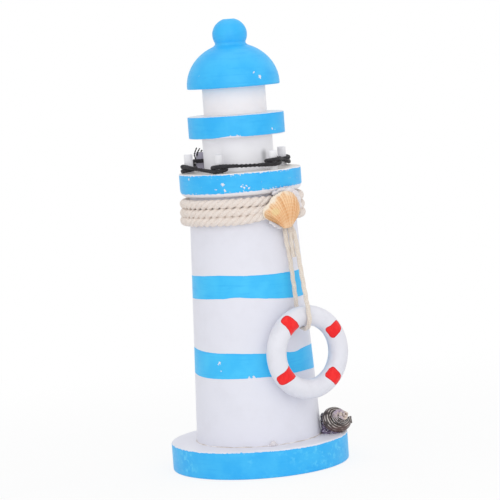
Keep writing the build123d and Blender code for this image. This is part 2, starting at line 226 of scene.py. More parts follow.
def finishMesh(name, bm, mat, nodes=(), body="lighthouse", sharp=60):
    bmesh.ops.recalc_face_normals(bm, faces=bm.faces)
    made = placeMesh(name, bm)
    made.data.shade_smooth()
    made.data.set_sharp_from_angle(angle=radians(sharp))
    made.data.materials.append(mat)
    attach(made, body)
    if nodes:
        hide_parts(*nodes)
    return made


def arc(across, up, width, height, first, last, steps):
    turns = [radians(first + (last - first) * i / steps) for i in range(steps + 1)]
    return [(across + width * cos(t), up + height * sin(t)) for t in turns]


def divide(outline, step):
    out = [outline[0]]
    for (r0, z0), (r1, z1) in zip(outline, outline[1:]):
        count = max(1, round(hypot(r1 - r0, z1 - z0) / step))
        out += [(r0 + (r1 - r0) * i / count, z0 + (z1 - z0) * i / count) for i in range(1, count + 1)]
    return out


def spinRound(bm, geom, steps):
    bmesh.ops.spin(bm, geom=geom, cent=(0, 0, 0), axis=(0, 0, 1), angle=2 * pi, steps=steps, use_merge=True)
    bmesh.ops.remove_doubles(bm, verts=bm.verts, dist=weld)


def onRim(co, radius, height):
    return hypot(hypot(co.x, co.y) - radius * mm, co.z - height * mm) < 2 * weld


lathe = {"across": 28, "up": 18, "bores": 6, "easing": 3}  # scales of the wander, reach that stays true


# turn an outline of radius and height round Z, ease its sharp rims and let it wander a little
def turned(outline, rims=(), closed=True, steps=160, step=3, wander=0.1, seed=0):
    path = divide(outline + outline[:1] if closed else outline, step)
    bm = bmesh.new()
    verts = [bm.verts.new((r * mm, 0, z * mm)) for r, z in path]
    edges = [bm.edges.new(pair) for pair in zip(verts, verts[1:])]
    spinRound(bm, verts + edges, steps)
    for radius, height, width in rims:
        rim = [e for e in bm.edges if all(onRim(v.co, radius, height) for v in e.verts)]
        bmesh.ops.bevel(bm, geom=rim, offset=width * mm, segments=lathe["easing"], profile=0.5,
                        affect="EDGES", material=-1)
    for v in bm.verts:
        x, y, z = v.co
        drift = noise.noise(Vector((x * lathe["across"], y * lathe["across"], z * lathe["up"] + seed))) - 0.5
        reach = hypot(x, y)
        if reach > lathe["bores"] * mm:  # the bores stay true
            v.co.xy *= 1 + wander * mm * drift / reach
    return bm


def splinePoints(name, points, resolution=8):
    data = bpy.data.curves.new(name, "CURVE")
    data.dimensions = "3D"
    data.resolution_u = resolution
    line = data.splines.new("NURBS")
    line.points.add(len(points) - 1)
    for spot, point in zip(line.points, points):
        spot.co = (point[0] * mm, point[1] * mm, point[2] * mm, 1)
    line.order_u = 3
    line.use_endpoint_u = True
    holder = bpy.data.objects.new(name, data)
    read = bpy.data.meshes.new_from_object(holder)
    found = [v.co.copy() for v in read.vertices]
    bpy.data.objects.remove(holder)
    bpy.data.curves.remove(data)
    bpy.data.meshes.remove(read)
    return found


# a grid of quads moved into shape point by point, with its UV kept
def sheet(bm, lengthwise, crosswise, spotAt):
    grid = bmesh.ops.create_grid(bm, x_segments=lengthwise, y_segments=crosswise, size=1, calc_uvs=True)
    for v in grid["verts"]:
        v.co = spotAt((v.co.x + 1) / 2, (v.co.y + 1) / 2)


# weld the seams and cap what stays open
def closeUp(bm):
    bmesh.ops.remove_doubles(bm, verts=bm.verts, dist=weld)
    bmesh.ops.holes_fill(bm, edges=[e for e in bm.edges if e.is_boundary], sides=0)


# twisted strands along a line, each a rolled grid with the length along u
def layStrands(points, kit, bm=None):
    bm = bm or bmesh.new()
    uvLayer = bm.loops.layers.uv.get("strand") or bm.loops.layers.uv.new("strand")
    last = len(points) - 1
    stations, side, run = [], None, 0
    for i, point in enumerate(points):
        way = (points[min(i + 1, last)] - points[max(i - 1, 0)]).normalized()
        side = way.orthogonal() if side is None else side
        side = (side - way * side.dot(way)).normalized()
        run += (point - points[i - 1]).length / mm if i else 0
        stations.append((point, side, way.cross(side), run))
    for k in range(kit["strands"]):
        grid = bmesh.ops.create_grid(bm, x_segments=last, y_segments=kit["sides"], size=1, calc_uvs=True)
        for v in grid["verts"]:
            point, side, other, run = stations[round((v.co.x + 1) / 2 * last)]
            around = (v.co.y + 1) * pi
            swing = 2 * pi * (run / kit["lay"] + k / kit["strands"])
            out = side * cos(swing) + other * sin(swing)
            across = other * cos(swing) - side * sin(swing)
            bulge = noise.noise(Vector((run * 0.35, k * 7.1, kit.get("seed", 0))))
            size = kit["radius"] * (1 + kit.get("uneven", 0) * bulge)
            for loop in v.link_loops:
                loop[uvLayer].uv.x = run * 0.1  # a UV unit is 10 mm of cord
            v.co = point + (out * (kit["offset"] + size * cos(around)) + across * size * sin(around)) * mm
    closeUp(bm)
    return bm


# yarn: fine twisted lines on each strand, paler on the crowns, and painted shade in the lay colour on each
# strand's inner side where the strands meet
def yarnMaterial(name, look):
    mat, place = newMaterial(name)
    lengthwise, around = uvOf(place.tree, "strand")
    twist = lengthwise * look["yarnsAlong"] + around * look["yarnsRound"]
    lift = calc("SINE", twist * (2 * pi)) * 0.5 + 0.5
    crown = calc("COSINE", around * (2 * pi)) * 0.5 + 0.5
    hairs = noiseAt(place, 2.6, 5, 0.7)
    stains = smooth(noiseAt(place, 0.16, 2), 0.5, 0.75)
    tint = mixColours(lift * 0.55, look["dark"], look["base"])
    tint = coats(tint, (smooth(hairs, 0.42, 0.72), look["light"]), (stains * look["stain"], look["dark"]))
    # painted shade: the darker lay colour on each strand's inner side
    tint = mixColours(smooth(crown, 0, 0.55), look["lay"], tint)
    height = hairs * look["fuzz"] + lift * look["ridge"]
    sheen = {"Sheen Weight": look["sheen"], "Sheen Roughness": 0.5}
    return dress(mat, tint, look["rough"], height, shine=look["shine"], more=sheen)


# twine loop from the knot round the ring's tube and back
twine = {
    "route": [
        (9.7, -30.3, 130.57), (11, -32.6, 125.4), (9.9, -35.9, 114.4), (8.3, -42.6, 92.3),
        (7.6, -46.47, 80.84), (8.2, -43.2, 75.4), (8.9, -36.94, 74.29), (9.4, -32.25, 78.26),
        (8.9, -32.2, 90.4), (7.5, -31.3, 114.3), (5.8, -30.7, 125.4), (6.6, -30.3, 130.57)],
    "knot": (8, -30.13, 130.57),
    "strand": {
        "strands": 3, "radius": 0.78, "offset": 0.5, "lay": -20, "sides": 12, "uneven": 0.14, "seed": 3},
    "look": {
        "base": (0.82, 0.745, 0.67, 1), "light": (0.89, 0.84, 0.78, 1), "dark": (0.71, 0.62, 0.53, 1),
        "lay": (0.64, 0.55, 0.46, 1), "yarnsAlong": 9, "yarnsRound": 2, "stain": 0.3, "rough": 0.9,
        "shine": 0.15, "sheen": 0.2, "fuzz": 0.07, "ridge": 0.05},
}
twineMat = yarnMaterial("cotton twine", twine["look"])
twineLine = splinePoints("twineLine", twine["route"], 12)


def twinePiece(name, line, strand, nodes=()):
    return finishMesh(name, layStrands(line, strand), twineMat, nodes, "hanger")


twineLoop = twinePiece("twineLoop", twineLine, twine["strand"], ["hanger_string"])

# the tied knot under the scallop and its loose tail
knot = {
    "strand": {"strands": 2, "radius": 0.42, "offset": 0.32, "lay": 5, "sides": 8},
    "wide": 0.46, "deep": 0.6, "points": 30,
    "tail": [(8.1, -31.2, 130), (8.6, -31.9, 126.4), (8.5, -32.8, 119), (8.6, -33.4, 114.6),
             (8.8, -33.7, 112.6)],
    "tailStrand": {**twine["strand"], "radius": 0.68, "offset": 0.45, "seed": 8},
}
knotRoute = []
for i in range(knot["points"] + 1):
    t = 2 * pi * i / knot["points"]
    reach = (2 + cos(3 * t)) * knot["wide"]
    step = Vector((reach * cos(2 * t), knot["deep"] * sin(3 * t), reach * sin(2 * t)))
    knotRoute.append(Vector(twine["knot"]) + step)
twineKnot = twinePiece("twineKnot", splinePoints("knotLine", knotRoute, 6), knot["strand"], ["hanger_knot"])
twineTail = twinePiece("twineTail", splinePoints("tailLine", knot["tail"], 12), knot["tailStrand"])
print("twine and knot done")

# hand paint: white all over, blue between wavering edges and chipped along them, and soft grey spots of
# painted shadow where a piece lists them
paint = {
    "white": (0.79, 0.793, 0.87, 1), "whiteShade": (0.745, 0.745, 0.815, 1), "paintedShadowTint": (0.32, 0.32, 0.34, 1),
    "blueBase": (0.03, 0.46, 0.93, 1), "blueLight": (0.05, 0.515, 0.95, 1),
    "blueDeep": (0.018, 0.4, 0.89, 1), "blueWorn": (0.11, 0.62, 0.98, 1),
    "blue": [], "ragged": 0.5, "sway": 1, "scuff": 0, "chips": [], "paintedShadows": [],
    "chipEdge": 0.1, "chipFrom": 0.72, "chipReach": 2.2, "chipScale": 0.6, "rough": 0.36, "shine": 0.32,
}


# heights at bearings round the piece as one ramp, which ends as it begins
def edgeLine(bearing, heights):
    low, high = min(h for b, h in heights) - 0.1, max(h for b, h in heights) + 0.1
    closed = heights + [(180, heights[0][1])]
    stops = [((b + 180) / 360, ((h - low) / (high - low),) * 3) for b, h in closed]
    return ramp(bearing, stops, "CARDINAL") * (high - low) + low


# each piece changes what it needs of the paint
def paintMaterial(name, changes):
    look = {**paint, **changes}
    mat, place = newMaterial(name)
    x, y, z = split(place)
    bearing = calc("ARCTAN2", x, y * -1) * (0.5 / pi) + 0.5
    fine = noiseAt(place, 0.55, 4, 0.6) - 0.5
    crumbs = noiseAt(place, 1.5, 4, 0.65) - 0.5
    slow = noiseAt(stretch(place, (1, 1, 0.15)), 0.07, 2) - 0.5
    drift = fine * look["ragged"] + slow * look["sway"]
    streaks = noiseAt(stretch(place, (0.07, 0.07, 0.8)), 1, 3, 0.5)
    patches = noiseAt(place, 0.1, 3)
    specks = noiseAt(place, look["chipScale"], 4, 0.65)

    tint = mixColours(smooth(patches, 0.4, 0.75) * 0.5, look["white"], look["whiteShade"])
    # the top colours and their speckles: on the deck a real beige, on the canopy a white brightened as
    # painted light
    if "topColour" in look:
        speckledTop = mixColours(smooth(specks, 0.4, 0.65), look["topColour"], look["topDark"])
        tint = mixColours(smooth(z, look["topFrom"], look["topFrom"] + 0.3), tint, speckledTop)
    # painted shadows: soft grey spots darken the white around each listed place
    for *spot, size in look["paintedShadows"]:
        away = vectorCalc("DISTANCE", place, spot)
        tint = mixColours(smooth(away, size, 0.2) * 0.5, tint, look["paintedShadowTint"])
    height = streaks * 0.03 + noiseAt(place, 1.4, 3) * 0.02

    covered = None
    for low, high in look["blue"]:
        wet = z + drift
        inside = calc("MINIMUM", wet - edgeLine(bearing, low), edgeLine(bearing, high) - wet)
        covered = inside if covered is None else calc("MAXIMUM", covered, inside)
    if covered is not None:
        if "within" in look:
            reach = calc("SQRT", x * x + y * y)
            covered = calc("MINIMUM", covered, reach + drift - look["within"])
        border = 1 - smooth(covered, 0, look["chipReach"])
        chipped = smooth(border * look["chipEdge"] + specks, look["chipFrom"], look["chipFrom"] + 0.02)
        for *spot, size in look["chips"]:
            away = crumbs * 2.8 + vectorCalc("DISTANCE", place, spot)
            chipped = calc("MAXIMUM", chipped, 1 - smooth(away, size * 0.85, size))
        blue = smooth(covered, -0.06, 0.12) * (1 - chipped)
        blueTint = mixColours(smooth(patches, 0.3, 0.7), look["blueBase"], look["blueLight"])
        blueTint = mixColours(smooth(streaks, 0.5, 0.75) * 0.35, blueTint, look["blueDeep"])
        if look["scuff"]:
            zones = smooth(noiseAt(place, 0.06, 2), 0.42, 0.6) * look["scuff"]
            rubbed = smooth(noiseAt(place, 0.36, 4, 0.6), 0.5, 0.66)
            blueTint = mixColours(rubbed * zones, blueTint, look["blueWorn"])
        blueTint = mixColours((1 - smooth(covered, 0.1, 0.8)) * 0.25, blueTint, look["blueDeep"])
        tint = mixColours(blue, tint, blueTint)
        height = blue * 0.06 + height
    return dress(mat, tint, streaks * 0.14 + look["rough"], height, 0.6, look["shine"])


woodSharp = 38  # turned edges steeper than this stay crisp
boreRadius = 4.05  # clears the centre dowel
pilotRadius = 2.3  # clears the base screw


# a painted piece off the lathe
def turnPiece(name, node, kit):
    bm = turned(kit["outline"], kit.get("rims", ()), **kit["lathe"])
    mat = paintMaterial(kit["paint"], kit["look"])
    return finishMesh(name, bm, mat, [node], sharp=kit.get("sharp", woodSharp))


# base: white on top, blue round the side, held by one screw from below
baseRadius, baseFoot, baseTop = turnedSize("base_plate")
base = {
    "outline": [(pilotRadius, baseTop), (baseRadius, baseTop), (baseRadius, baseFoot), (4.9, baseFoot),
                (pilotRadius, 2.6)],
    "rims": [(baseRadius, baseTop, 0.6), (baseRadius, baseFoot, 0.6)],
    "lathe": {"steps": 192, "step": 4, "wander": 0.12, "seed": 1},
    "paint": "base paint",
    "look": {
        "blue": [([(-180, -5)], [(-180, 14.2), (-100, 14.3), (-60, 14.1), (-40, 14.3), (-5, 13.9), (30, 14.1),
                                 (110, 14.2)])],
        "ragged": 1.3, "sway": 0.4, "chipEdge": 0.12, "chipFrom": 0.74, "chipReach": 1.2, "chipScale": 0.75,
        "scuff": 0.85, "within": 46.6},
}
turnPiece("baseDisc", "base_plate", base)

# tower: a cone with two blue bands
footRadius, towerFoot, towerTop = turnedSize("tower")
neckRadius, pilotTop, boreFoot = 28.05, 39.5, 124
tower = {
    "outline": [(0, pilotTop), (pilotRadius, pilotTop), (pilotRadius, towerFoot), (footRadius, towerFoot),
                (neckRadius, towerTop), (boreRadius, towerTop), (boreRadius, boreFoot), (0, boreFoot)],
    "rims": [(footRadius, towerFoot, 0.3), (neckRadius, towerTop, 0.3)],
    "lathe": {"closed": False, "steps": 192, "step": 4, "wander": 0.12, "seed": 2},
    "paint": "tower paint",
    "look": {
        "blue": [
            ([(-180, 93.2), (-122, 92.7), (-95, 92.9), (-70, 93.35), (-58, 93.4), (-45, 94), (-32, 93.3),
              (-20, 92.5), (5, 91.2), (40, 90.6), (110, 92.2)],
             [(-180, 105.4), (-122, 105), (-95, 105.3), (-70, 105.85), (-50, 105.7), (-20, 104.95),
              (10, 104.75), (45, 104.7), (110, 105.2)]),
            ([(-180, 51.4), (-122, 52.3), (-95, 51.4), (-70, 50.9), (-29, 51), (-16.5, 50.8), (9.6, 51.1),
              (29, 51.1), (46, 50.5), (60, 50.8), (120, 51.6)],
             [(-180, 65), (-122, 66.2), (-95, 65.5), (-70, 64.65), (-47, 64.45), (-27, 63.65), (2, 62.85),
              (13, 62.3), (22.6, 63.3), (32, 63.6), (60, 63.6), (120, 64.6)])],
        "blueBase": (0.042, 0.52, 0.96, 1), "blueLight": (0.062, 0.575, 0.98, 1),
        "ragged": 0.35, "sway": 0.5, "chipEdge": 0.07, "chipFrom": 0.76, "chipReach": 1.2,
        "chips": [
            (-29.2, -12.7, 59.6, 0.75), (-29.5, -12, 58.6, 0.5), (-29, -13.2, 55.3, 0.4),
            (-19.5, -25.5, 51.3, 0.65), (-17.5, -26.9, 51.5, 0.85)]},
}
turnPiece("towerBody", "tower", tower)
print("base and tower done")

# gallery deck, rounded below and drilled for its pegs
deckRadius, deckFoot, deckTop = turnedSize("gallery_deck")
pegFoot, pegTop = turnedSize("rail_post_1")[1:]
deck = {
    "outline": [(boreRadius, deckFoot)] + arc(deckRadius - 3.6, deckFoot + 4.2, 3.6, 4.2, 270, 360, 10)
    + [(deckRadius, deckTop), (boreRadius, deckTop)],
    "rims": [(deckRadius, deckTop, 0.5)],
    "lathe": {"seed": 3},
    "pegs": [-161, -122, -55, 9.5, 88, 143], "pegCircle": 27, "socket": 2.4, "drill": 10,
    "paint": "deck paint",
    "look": {
        "blue": [([(-180, 149.8), (-122, 149.1), (-80, 149), (-32, 149.4), (10, 149.9), (60, 150.2),
                   (120, 150)], [(-180, 159.1), (-60, 159.1), (60, 159)])],
        "ragged": 1.7, "sway": 0.4, "chipEdge": 0.16, "chipFrom": 0.73, "chipReach": 2, "chipScale": 0.8,
        # the deck's white is lighter than the other white paint, painted light against the shade on its
        # underside
        "within": 31.4, "white": (0.85, 0.84, 0.88, 1), "whiteShade": (0.8, 0.79, 0.83, 1),
        "topColour": (0.78, 0.73, 0.63, 1), "topDark": (0.68, 0.63, 0.55, 1), "topFrom": 159.35,
        "chips": [
            (-32.7, -0.9, 157.3, 0.5), (-24.6, -21.6, 154.1, 0.85), (-27, -18.4, 151.5, 0.45),
            (-23.8, -22.1, 150.7, 0.65), (-17.2, -27.9, 152.4, 0.5), (-16.1, -28.5, 151.8, 0.6),
            (-14.8, -29.2, 152.5, 0.45), (-13.6, -29.7, 151.4, 0.6), (-20.3, -25.7, 159, 0.5),
            (-17.4, -27.7, 158.7, 0.4)]},
}
galleryDeck = turnPiece("galleryDeck", "gallery_deck", deck)
pegSpots = [atBearing(bearing, deck["pegCircle"], 0) for bearing in deck["pegs"]]
bm = bmesh.new()
for spot in pegSpots:
    hole = Matrix.Translation((spot + Vector((0, 0, pegFoot + deck["drill"] / 2))) * mm)
    bmesh.ops.create_cone(bm, cap_ends=True, segments=32, radius1=deck["socket"] * mm,
                          radius2=deck["socket"] * mm, depth=deck["drill"] * mm, matrix=hole)
drill = placeMesh("drill", bm)
cut = galleryDeck.modifiers.new("sockets", "BOOLEAN")
cut.operation = "DIFFERENCE"
cut.object = drill
cut.solver = "EXACT"
drilled = afterModifiers(galleryDeck)
galleryDeck.modifiers.clear()
galleryDeck.data = drilled
drilled.set_sharp_from_angle(angle=radians(woodSharp))
bpy.data.objects.remove(drill)


# a bored disc: its outline and its eased rims
def disc(node, footEdge, topEdge):
    radius, foot, top = turnedSize(node)
    return {"outline": [(boreRadius, foot), (radius, foot), (radius, top), (boreRadius, top)],
            "rims": [(radius, foot, footEdge), (radius, top, topEdge)]}


# two plain drums in a whiter white, painted light against the shade under the canopy and dome; the lower one
# has painted shadows of the pegs, the upper one a warm white that offsets the blue light bounced from the
# dome and canopy
lowerDrum = {
    **disc("lower_drum", 0.2, 0.2), "paint": "drum paint", "lathe": {"steps": 128, "seed": 4},
    "look": {
        "rough": 0.4, "white": (0.92, 0.92, 0.955, 1), "whiteShade": (0.87, 0.87, 0.905, 1),
        # painted shadows of the pegs on the lower drum
        "paintedShadows": [(4.5, -18.4, 168.3, 3.2), (4.6, -18.3, 166.5, 3.2), (4.6, -18.3, 164.3, 3.2)]},
}
upperDrum = {
    **disc("upper_drum", 0.2, 0.2), "paint": "upper drum paint against blue bounce", "lathe": {"steps": 128, "seed": 5},
    "look": {"rough": 0.4, "white": (0.95, 0.9, 0.895, 1), "whiteShade": (0.9, 0.85, 0.845, 1)},
}
turnPiece("lowerDrum", "lower_drum", lowerDrum)
turnPiece("upperDrum", "upper_drum", upperDrum)

# canopy disc between the drums; its top is a bright white, painted light against the shade under the dome
canopy = {
    **disc("canopy_ring", 0.5, 0.8), "paint": "canopy paint", "lathe": {"wander": 0.12, "seed": 6},
    "look": {
        "blue": [([(-180, 178), (-60, 178), (-50, 178.4), (-40, 178.7), (-30, 178.6), (-25, 178.1),
                   (60, 178.1)], [(-180, 189.2), (-60, 189.3), (60, 189.1)])],
        "ragged": 0.5, "sway": 0.2, "chipEdge": 0.12, "chipFrom": 0.77, "chipReach": 0.8, "chipScale": 0.7,
        "within": 24.8, "topColour": (0.95, 0.94, 0.95, 1), "topDark": (0.91, 0.9, 0.91, 1), "topFrom": 189.3,
        "chips": [
            (6.6, -25.1, 180.8, 0.5), (8.8, -24.4, 180.1, 0.35), (-16.6, -19.9, 178.5, 0.4),
            (-13.5, -22.1, 178.7, 0.5), (-12.3, -22.8, 178.5, 0.35)]},
}
turnPiece("canopyRing", "canopy_ring", canopy)

# dome and ball in one turning, bored for the dowel
domeRadius, domeFoot, domeTop = turnedSize("dome_cap")
domeSpring, domeBore, ballRadius, ballMiddle = domeFoot + 1.2, domeFoot + 15, 9.35, 232.1
dome = {
    "outline": [(0, domeBore), (boreRadius, domeBore), (boreRadius, domeFoot), (domeRadius - 0.4, domeFoot),
                (domeRadius, domeFoot + 0.4), (domeRadius, domeSpring)]
    + arc(0, domeSpring, domeRadius, 22.2, 2, 66, 28) + [(9.24, 225.99), (8.63, 226.53), (8.3, 227.1)]
    + arc(0, ballMiddle, ballRadius, ballRadius, -28, 0, 8)
    + arc(0, ballMiddle, ballRadius, 8.5, 4, 71.9, 18) + [(0, domeTop)],
    "lathe": {"closed": False, "step": 2.5, "seed": 7}, "paint": "dome paint", "sharp": 50,
    "look": {
        "blue": [([(-180, 190)], [(-180, 260)])], "sway": 0, "ragged": 0.2, "chipFrom": 0.85,
        "chips": [(-1.7, -24, 211.1, 0.45), (1.5, -24.6, 208.6, 1.05), (-23.6, -4.3, 211.3, 0.15)]},
}
turnPiece("domeCap", "dome_cap", dome)

# rail pegs, hand cut and a little uneven; the one the cord ends on is painted dark lilac grey as shade, the
# front one a duller white as painted shade against the extra light it catches
peg = {
    "radius": 2.33, "round": 0.5, "footRound": 0.3, "uneven": 0.02,
    "paints": {
        "peg paint": {"rough": 0.45, "white": (0.87, 0.87, 0.9, 1), "whiteShade": (0.82, 0.82, 0.86, 1)},
        "front peg paint with painted shade": {"rough": 0.5, "white": (0.79, 0.79, 0.82, 1), "whiteShade": (0.75, 0.75, 0.78, 1)},
        "end peg paint with painted shade": {
            "rough": 0.45, "white": (0.5, 0.48, 0.58, 1), "whiteShade": (0.36, 0.34, 0.44, 1)}},
    "odd": {1: "end peg paint with painted shade", 3: "front peg paint with painted shade"},
}
pegMats = {name: paintMaterial(name, look) for name, look in peg["paints"].items()}
for number, spot in enumerate(pegSpots, start=1):
    bm = turned([(0, pegFoot), (peg["radius"], pegFoot), (peg["radius"], pegTop), (0, pegTop)],
                [(peg["radius"], pegTop, peg["round"]), (peg["radius"], pegFoot, peg["footRound"])],
                closed=False, steps=40, step=2.5, wander=0)
    for v in bm.verts:
        bulge = noise.noise(Vector((v.co.x * 600, v.co.y * 600, v.co.z * 150 + number * 9)))
        v.co.xy *= 1 + peg["uneven"] * bulge
    bmesh.ops.translate(bm, verts=bm.verts, vec=spot * mm)
    mat = pegMats[peg["odd"].get(number, "peg paint")]
    finishMesh(f"railPeg{number}", bm, mat, [f"rail_post_{number}"], sharp=woodSharp)
print("deck, drums, canopy, dome and pegs done")

# black rail cord: turns round every peg and a run to the next, its ends on the first
rail = {
    "wrap": 3.57, "pitch": 2.35, "points": 18, "sag": 0.2, "leave": (1.3, 5),
    "ends": 164.9, "endGap": 2.3, "firstTurn": 1.6 * pi, "lastTurn": 0.45 * pi,
    "lows": {1: 160.65, 2: 160.65, 3: 162.4, 4: 161.2, 5: 160.65},
    "strand": {
        "strands": 5, "radius": 0.5, "offset": 0.62, "lay": -9, "sides": 8, "uneven": 0.2, "seed": 11},
    "look": {
        "base": (0.02, 0.018, 0.022, 1), "light": (0.05, 0.046, 0.054, 1), "dark": (0.009, 0.008, 0.01, 1),
        "lay": (0.006, 0.006, 0.007, 1), "yarnsAlong": 8, "yarnsRound": 2, "stain": 0.2, "rough": 0.6,
        "shine": 0.35, "sheen": 0.1, "fuzz": 0.12, "ridge": 0.06},
}
pegCount = len(pegSpots)
spanWays = [(pegSpots[(i + 1) % pegCount] - pegSpots[i]).normalized() for i in range(pegCount)]
leaveAngles = [atan2(-way.x, way.y) for way in spanWays]
railRoute = []


def besidePeg(spot, reach, angle, height):
    return spot + Vector((reach * cos(angle), reach * sin(angle), height))


def windPeg(spot, first, turnedBy, height, pitch):
    steps = round(turnedBy / (2 * pi) * rail["points"])
    reach = rail["wrap"] / cos(turnedBy / steps / 2)
    for i in range(steps + 1):
        turn = turnedBy * i / steps
        railRoute.append(besidePeg(spot, reach, first + turn, height + pitch * turn / (2 * pi)))


def crossSpan(spot, angle, height):
    start, end = railRoute[-1], besidePeg(spot, rail["wrap"], angle, height)
    way = (end - start).normalized()
    near, far = rail["leave"]
    low = (start + end) / 2 - Vector((0, 0, rail["sag"]))
    railRoute.extend([start + way * near, start + way * far, low, end - way * far, end - way * near])


windPeg(pegSpots[0], leaveAngles[0] - rail["firstTurn"], rail["firstTurn"], rail["ends"], 0)
for i in range(1, pegCount):
    crossSpan(pegSpots[i], leaveAngles[i - 1], rail["lows"][i])
    bend = (leaveAngles[i] - leaveAngles[i - 1]) % (2 * pi)
    windPeg(pegSpots[i], leaveAngles[i - 1], 2 * pi + bend, rail["lows"][i], rail["pitch"])
crossSpan(pegSpots[0], leaveAngles[-1], rail["ends"] - rail["endGap"])
windPeg(pegSpots[0], leaveAngles[-1], rail["lastTurn"], rail["ends"] - rail["endGap"], 0)
railMat = yarnMaterial("black cord", rail["look"])
railLine = splinePoints("railLine", railRoute, 4)
finishMesh("railCord", layStrands(railLine, rail["strand"]), railMat, ["rail_cord"])

# frayed tails that stand up beside the first peg: right, away and up as the camera sees them
fray = {
    "strand": {"strands": 2, "radius": 0.26, "offset": 0.18, "lay": 2.6, "sides": 6},
    "tails": [
        [(-2.4, -2, 0.6), (-3, -2.2, 2.2), (-3.2, -2.3, 3.4), (-2.6, -2.2, 5.2), (-1.9, -2, 7)],
        [(-1.9, -2.4, 2.4), (-1.6, -2.6, 3.8), (-1.2, -2.7, 5), (-0.2, -2.7, 6.6)],
        [(0.3, -2.7, 4.6), (0.6, -2.8, 5.2), (1.2, -2.8, 5.7)]],
}
frayFrom = pegSpots[0] + Vector((0, 0, rail["ends"]))
bm = bmesh.new()
for tail in fray["tails"]:
    tailPoints = [frayFrom + camRight * right + ahead * away + camUp * up for right, away, up in tail]
    layStrands(splinePoints("tail", tailPoints, 6), fray["strand"], bm)
finishMesh("railFray", bm, railMat)
print("rail cord done")

# neck rope: three turns of laid rope, which sag on the left and climb to the next behind the scallop
rope = {
    "start": 32, "turned": 1058, "radius": 2.5, "gap": 0.1, "points": 36,
    "levels": [134.6, 139.1, 143.7, 143.7], "climbs": [(290, 62), (312, 40), (312, 40)],
    "sinkAt": -110, "sinks": [0.2, 0.6, 0.35],
    "strand": {
        "strands": 3, "radius": 1.6, "offset": 1.06, "lay": -12, "sides": 16, "uneven": 0.08, "seed": 5},
    "look": {
        "base": (0.87, 0.78, 0.72, 1), "light": (0.92, 0.87, 0.83, 1), "dark": (0.79, 0.69, 0.62, 1),
        "lay": (0.76, 0.67, 0.6, 1), "yarnsAlong": 8, "yarnsRound": 4, "stain": 0.3, "rough": 0.92,
        "shine": 0.12, "sheen": 0.2, "fuzz": 0.14, "ridge": 0.08},
}


def towerRadius(height):
    return footRadius + (height - towerFoot) / (towerTop - towerFoot) * (neckRadius - footRadius)


def ropePoint(turnedBy, reach):
    turn = int(turnedBy // 360)
    climbFrom, climbFor = rope["climbs"][turn]
    share = min(1, max(0, (turnedBy % 360 - climbFrom) / climbFor))
    level, nextLevel = rope["levels"][turn:turn + 2]
    bearing = rope["start"] + turnedBy
    height = level + (nextLevel - level) * share * share * (3 - 2 * share)
    height -= rope["sinks"][turn] * max(0, cos(radians(bearing - rope["sinkAt"]))) ** 2
    return atBearing(bearing, (towerRadius(height) + rope["gap"] + rope["radius"]) * reach, height)


ropeSteps = round(rope["turned"] / 360 * rope["points"])
ropeReach = 1 / cos(pi / rope["points"])
ropeRoute = [ropePoint(rope["turned"] * i / ropeSteps, ropeReach) for i in range(ropeSteps + 1)]
ropeLine = splinePoints("ropeLine", ropeRoute, 8)
ropeMat = yarnMaterial("laid rope", rope["look"])
finishMesh("neckRope", layStrands(ropeLine, rope["strand"]), ropeMat, ["neck_rope"])
print("neck rope done")

# life ring: a round tube with four red patches, bordered by white on the right
ring = {
    "centre": (9, -39.7, 62.2), "out": (0, -0.99903, 0.04411), "radius": 19.55, "tube": 5.3,
    "round": 160, "section": 48, "uneven": 0.012, "patches": [126, 211, 34.5, -49], "half": 9.7,
    "taper": 1.6, "faceFrom": 14, "faceTo": 152, "rightBorder": 1.6, "corner": 2.5,
    "white": (0.785, 0.787, 0.85, 1), "whiteShade": (0.725, 0.725, 0.785, 1),
    "red": (0.88, 0.014, 0.016, 1), "redLight": (0.94, 0.026, 0.024, 1), "redRim": (0.58, 0.008, 0.012, 1),
}
ringOut = Vector(ring["out"]).normalized()
ringRight = Vector((1, 0, 0))
ringUp = ringOut.cross(ringRight).normalized()
bm = bmesh.new()
tubeAt = Matrix.Translation((ring["radius"] * mm, 0, 0)) @ Matrix.Rotation(pi / 2, 4, "X")
bmesh.ops.create_circle(bm, segments=ring["section"], radius=ring["tube"] * mm, matrix=tubeAt)
spinRound(bm, bm.verts[:] + bm.edges[:], ring["round"])
for v in bm.verts:
    spine = Vector((v.co.x, v.co.y, 0)).normalized() * ring["radius"] * mm
    v.co = spine + (v.co - spine) * (1 + ring["uneven"] * noise.noise(v.co * 140))
ringFrame = Matrix((ringRight, ringUp, ringOut)).transposed().to_4x4()
bmesh.ops.transform(bm, matrix=Matrix.Translation(Vector(ring["centre"]) * mm) @ ringFrame, verts=bm.verts)


